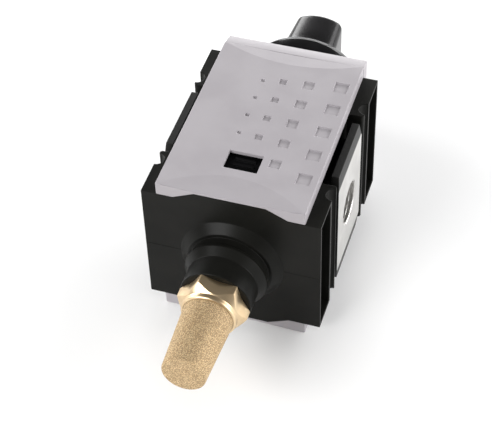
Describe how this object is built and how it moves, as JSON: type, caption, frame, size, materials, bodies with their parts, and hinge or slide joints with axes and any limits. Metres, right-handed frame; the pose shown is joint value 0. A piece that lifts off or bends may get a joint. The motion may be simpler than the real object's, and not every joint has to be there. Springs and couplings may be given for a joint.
{
  "type": "pneumatic venting ball valve module with muffler",
  "caption": "Hand-operated venting shut-off valve module for an air-preparation line: covered body, side ports, turning knob and a sintered-bronze exhaust muffler.",
  "frame": {"origin": "on the outer face of the rear cover, straight below the crossing of the port axis and the valve axis", "axes": "+X is the flow direction, from the inlet port to the outlet port; +Y runs along the valve from the muffler to the knob; +Z points out of the front cover"},
  "size_m": [0.06, 0.1553, 0.0581],
  "materials": {
    "body_plastic": "moulded, fine texture",
    "cover_plastic": "moulded, smooth satin",
    "insert_plastic": "moulded, smooth",
    "knob_plastic": "moulded, semi-gloss",
    "port_metal": "die-cast, fine blasted",
    "spring_steel": "rolled strip",
    "screw_steel": "zinc plated",
    "seal_rubber": "moulded",
    "seat_plastic": "turned PTFE",
    "washer_plastic": "moulded acetal",
    "brass": "turned and milled, bright",
    "plated_brass": "turned, nickel plated, polished",
    "sintered_bronze": "sintered grain, dull"
  },
  "bodies": {
    "valve": {"valve_body": "body_plastic", "front_cover": "cover_plastic", "rear_cover": "cover_plastic", "window_insert": "insert_plastic", "end_frame": "cover_plastic", "outlet_port_plate": "port_metal", "inlet_port_plate": "port_metal", "outlet_spigot_seal": "seal_rubber", "inlet_spigot_seal": "seal_rubber", "outlet_retaining_clip": "spring_steel", "inlet_retaining_clip": "spring_steel", "outlet_ball_seat": "seat_plastic", "inlet_ball_seat": "seat_plastic", "outlet_seat_seal": "seal_rubber", "inlet_seat_seal": "seal_rubber", "thrust_washer": "washer_plastic", "bonnet": "body_plastic", "bonnet_seal": "seal_rubber", "bonnet_screws": "screw_steel", "exhaust_adapter": "body_plastic", "exhaust_adapter_seal": "seal_rubber", "muffler_base": "brass", "muffler_element": "sintered_bronze"},
    "handle": {"knob": "knob_plastic", "knob_screw": "screw_steel", "knob_cap": "knob_plastic", "stem": "plated_brass", "stem_seals": "seal_rubber"},
    "ball": {"ball": "plated_brass"}
  },
  "joints": [
    {"name": "knob_turn", "type": "hinge", "parent": "valve", "child": "handle", "pos_m": [0, 0.0412, 0.02905], "axis": [0, 1, 0], "range_deg": [0, 90]},
    {"name": "ball_turn", "type": "hinge", "parent": "valve", "child": "ball", "pos_m": [0, 0, 0.02905], "axis": [0, 1, 0], "range_deg": [0, 90]}
  ],
  "couplings": [
    {"joint": "ball_turn", "follows": "knob_turn", "ratio": 1}
  ]
}
